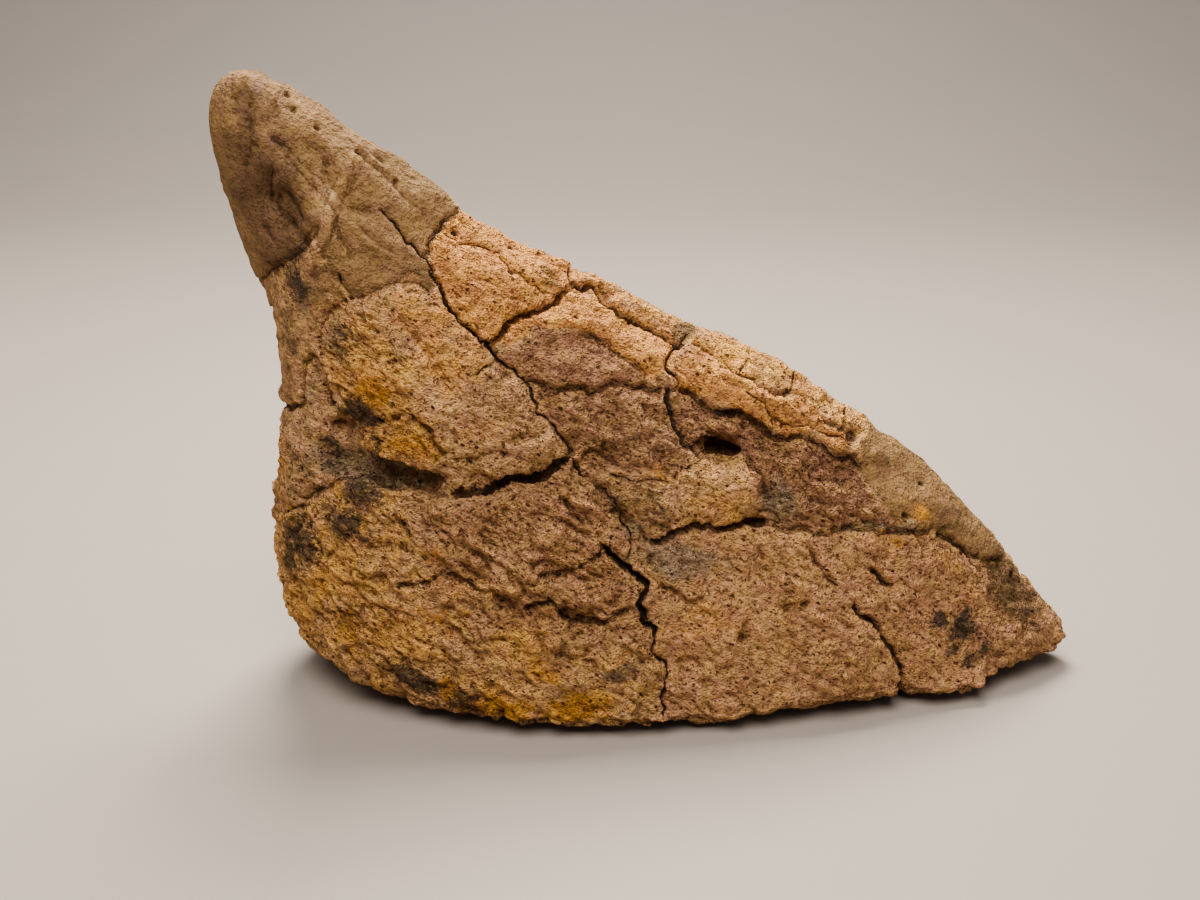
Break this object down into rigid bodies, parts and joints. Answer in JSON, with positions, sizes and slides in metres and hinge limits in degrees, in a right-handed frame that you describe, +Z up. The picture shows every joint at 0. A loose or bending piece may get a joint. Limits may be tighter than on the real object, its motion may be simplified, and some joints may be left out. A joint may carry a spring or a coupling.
{
  "type": "fossil ankylosaur scute",
  "caption": "Keeled bony armour scute of an ankylosaur, fossilised, with a horn-like apex that leans back over a blunt heel, a cracked pitted surface and a shallow dished underside",
  "frame": {"origin": "middle of the plan outline, on the plane that the worn rim rests on", "axes": "+Z up from the resting plane to the horn's tip, +X along the keel from the heel to the nose, -Y towards the flank with the deep ledge"},
  "size_m": [0.269, 0.1022, 0.1907],
  "materials": {
    "bone": "matt permineralised bone, warm brown with ochre, pink-tan and mauve areas"
  },
  "bodies": {
    "root": {"scute": "bone"}
  },
  "joints": []
}
